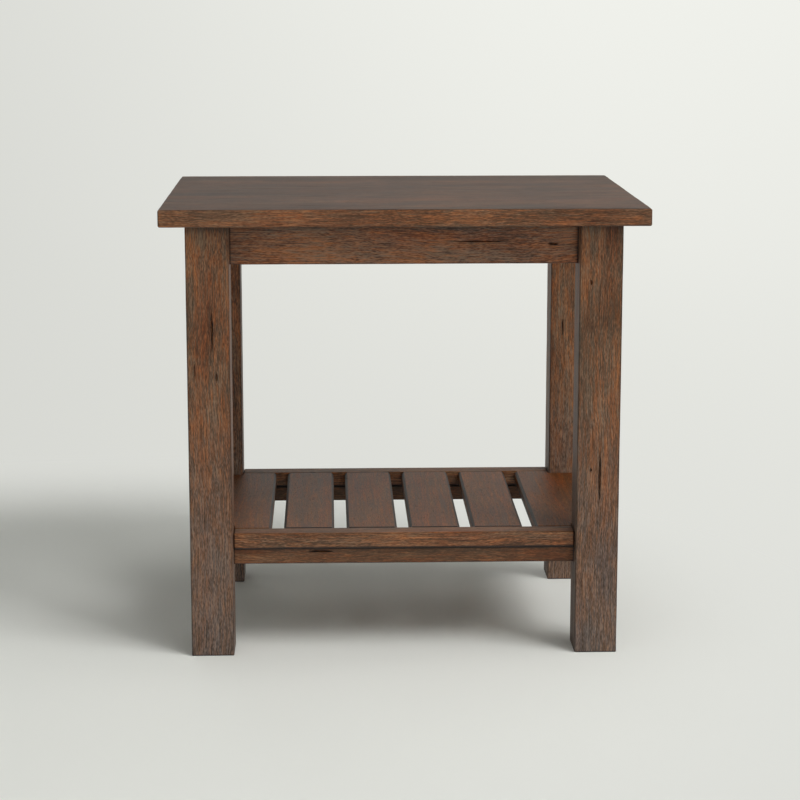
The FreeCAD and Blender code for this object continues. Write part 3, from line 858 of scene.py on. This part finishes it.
plated = zinc_plate("zinc_plated_steel")
for node in ("top_screws", "shelf_screws"):
    head, tip = (corner.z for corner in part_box(node))
    thread = head + PLAIN_SHANK
    taper = tip - SCREW_POINT
    outline = [
        (0, head), (SCREW_HEAD_RADIUS, head), (SCREW_RADIUS, head + SCREW_HEAD_HEIGHT),
        (SCREW_RADIUS, thread - THREAD_PITCH / 2), (THREAD_CORE, thread), (THREAD_CORE, taper), (0, tip),
    ]
    tooth = [(THREAD_CORE, 0), (SCREW_RADIUS, THREAD_CREST), (THREAD_CORE, THREAD_FOOT)]
    turns = (taper - thread) / THREAD_PITCH - 1
    screws = bmesh.new()
    for x, y in screw_places(node):
        points = [screws.verts.new((x + radius, y, height)) for radius, height in outline]
        turn(screws, points + [screws.edges.new(pair) for pair in zip(points, points[1:])], x, y)
        ridge = screws.faces.new([screws.verts.new((x + radius, y, thread + up)) for radius, up in tooth])
        turn(screws, [ridge, *ridge.edges, *ridge.verts], x, y, turns, THREAD_PITCH)
    bmesh.ops.remove_doubles(screws, verts=screws.verts, dist=TOUCH)
    bmesh.ops.recalc_face_normals(screws, faces=screws.faces)
    half = Vector((DRIVE_WIDTH, DRIVE_WIDTH, 0)) / 2
    for x, y in screw_places(node):
        middle = Vector((x, y, head))
        push(screws, cut_out(screws, -AXES[Z], middle - half, middle + half), AXES[Z] * DRIVE_DEPTH)
    add_piece(node, screws, plated)


# The studio is a pale painted cove all round the table: a flat floor that curves up into a wall. Near
# the table the floor shows the lamps' light and the shadow, and further out the camera sees it glow.

COVE_RADIUS = 6.0
COVE_BEND = 2.5
COVE_HEIGHT = 5.0
BEND_STEPS = 12
ROUND_STEPS = 96
FLOOR_PAINT = (0.870, 0.880, 0.836, 1.0)
FLOOR_ROUGHNESS = 0.9
FLOOR_SPECULAR = 0.1
FRONT_GLOW = (0.739, 0.746, 0.706, 1.0)
BACK_GLOW = (0.885, 0.893, 0.845, 1.0)
NO_GLOW = (0.0, 0.0, 0.0, 1.0)
GLOW_SPAN = (-1.0, 7.5)
LEFT_LOSS = 0.235
LEFT_SPAN = (-2.4, 1.1)
GLOSSY_LOSS = 0.04
GLOSSY_SPAN = (-1.0, 1.0)
SHADOW_PLACE = (-0.44, -0.12, 0)
SHADOW_SPAN = (0.57, 1.03)

cove_mesh = bmesh.new()
profile = [(0, 0), (COVE_RADIUS - COVE_BEND, 0)]
for step in range(1, BEND_STEPS + 1):
    angle = math.pi / 2 * step / BEND_STEPS
    profile.append((
        COVE_RADIUS - COVE_BEND + COVE_BEND * math.sin(angle),
        COVE_BEND - COVE_BEND * math.cos(angle),
    ))
profile.append((COVE_RADIUS, COVE_HEIGHT))
rim = [cove_mesh.verts.new((x, 0, z)) for x, z in profile]
outline = [cove_mesh.edges.new(pair) for pair in zip(rim, rim[1:])]
bmesh.ops.spin(
    cove_mesh, geom=rim + outline, cent=(0, 0, 0), axis=AXES[Z], angle=2 * math.pi, steps=ROUND_STEPS,
    use_merge=True,
)
bmesh.ops.remove_doubles(cove_mesh, verts=cove_mesh.verts, dist=0.01 * MM)
bmesh.ops.recalc_face_normals(cove_mesh, faces=cove_mesh.faces)
for face in cove_mesh.faces:
    face.smooth = True
cove_data = bpy.data.meshes.new("studio_cove")
cove_mesh.to_mesh(cove_data)
cove_mesh.free()
cove = bpy.data.objects.new("studio_cove", cove_data)
bpy.context.scene.collection.objects.link(cove)

paint, lit, place = new_material("cove_paint")
paint_nodes = paint.node_tree.nodes
lit.inputs["Base Color"].default_value = FLOOR_PAINT
lit.inputs["Roughness"].default_value = FLOOR_ROUGHNESS
lit.inputs["Specular IOR Level"].default_value = FLOOR_SPECULAR
sideways, backward, upward = (place.part(axis) for axis in "XYZ")
distance = place.vector("SUBTRACT", SHADOW_PLACE).vector("MULTIPLY", (1, 1, 0)).length()
light_path = paint_nodes.new("ShaderNodeLightPath")
camera_ray, glossy_ray, through_ray = (
    Socket(light_path.outputs[f"Is {kind} Ray"]) for kind in ("Camera", "Glossy", "Transmission")
)
seen = camera_ray.math("MAXIMUM", through_ray).math("MAXIMUM", glossy_ray)
# The glow is painted light, brighter further back and higher up; painted shade dims it to the left, and
# glossy rays see it dimmer towards the front
dark_front = glossy_ray * (1 - (1 - GLOSSY_LOSS) * backward.ramp(*GLOSSY_SPAN))
dark_left = LEFT_LOSS * (1 - sideways.ramp(*LEFT_SPAN))
near, far = GLOW_SPAN
glow = ((backward + 2 * upward - near) * (1 / (far - near))).mix(FRONT_GLOW, BACK_GLOW)
glow = dark_left.mix(glow, NO_GLOW)
glow = dark_front.mix(glow, NO_GLOW)
shine = glow.node("Emission", {}, {"Color": glow, "Strength": 1.0})
blend = shine.node("MixShader", {}, {
    0: seen * distance.ramp(*SHADOW_SPAN), 1: Socket(lit.outputs["BSDF"]), 2: shine,
})
feed(paint_nodes["Material Output"], {"Surface": blend})
cove_data.materials.append(paint)


# The lamps are square soft boxes with white fronts, on stands round the table. The strongest stands high
# to the right of the camera, and the others fill its shadows from the front, the side, above and behind.

AIM = Vector((0, 0, 0.30))
AIR_COLOUR = (0.95, 0.97, 1.0, 1.0)
AIR_LIGHT = 0.06
# Name, degrees round to the right from the front, degrees up, distance, size and watts
LAMPS = (
    ("key_lamp", 51, 42, 4.6, 2.0, 101),
    ("second_lamp", 30, 38, 4.4, 1.8, 24),
    ("front_lamp", 14, -0.5, 4.4, 0.3, 38),
    ("top_lamp", 0, 80, 3.4, 1.8, 20),
    ("side_lamp", 82, 42, 4.4, 2.0, 29),
    ("back_lamp", 195, 35, 4.4, 2.2, 14),
)
for name, around, up, away, size, watts in LAMPS:
    lamp_data = bpy.data.lights.new(name, "AREA")
    lamp_data.shape = "SQUARE"
    lamp_data.size = size
    lamp_data.energy = watts
    lamp = bpy.data.objects.new(name, lamp_data)
    azimuth, lift = math.radians(around), math.radians(up)
    level = Vector((math.sin(azimuth), -math.cos(azimuth), 0))
    toward = level * math.cos(lift) + AXES[Z] * math.sin(lift)
    lamp.location = AIM + away * toward
    lamp.rotation_euler = toward.to_track_quat("Z", "Y").to_euler()
    lamp.visible_glossy = False
    lamp.visible_camera = False
    bpy.context.scene.collection.objects.link(lamp)

world = bpy.data.worlds.new("studio_air")
world.use_nodes = True
air = world.node_tree.nodes["Background"]
air.inputs["Color"].default_value = AIR_COLOUR
air.inputs["Strength"].default_value = AIR_LIGHT
bpy.context.scene.world = world
bpy.context.scene.view_settings.view_transform = "Standard"


# The camera has a long lens without shift, on a stand a little left of the table's middle and above its
# top. It looks slightly down and to the right, so that the upper face and the shelf both show.

CAMERA_PLACE = (-0.0885, -2.7287, 0.7891)
CAMERA_YAW = math.radians(1.87)
CAMERA_PITCH = math.radians(10.75)
FOCAL_PIXELS = 2229.9
IMAGE_PIXELS = 800
SENSOR = 36.0

camera_data = bpy.data.cameras.new("camera")
camera_data.sensor_width = SENSOR
camera_data.lens = SENSOR * FOCAL_PIXELS / IMAGE_PIXELS
camera = bpy.data.objects.new("camera", camera_data)
camera.location = CAMERA_PLACE
camera.rotation_euler = (math.pi / 2 - CAMERA_PITCH, 0, -CAMERA_YAW)
bpy.context.scene.collection.objects.link(camera)
bpy.context.scene.camera = camera
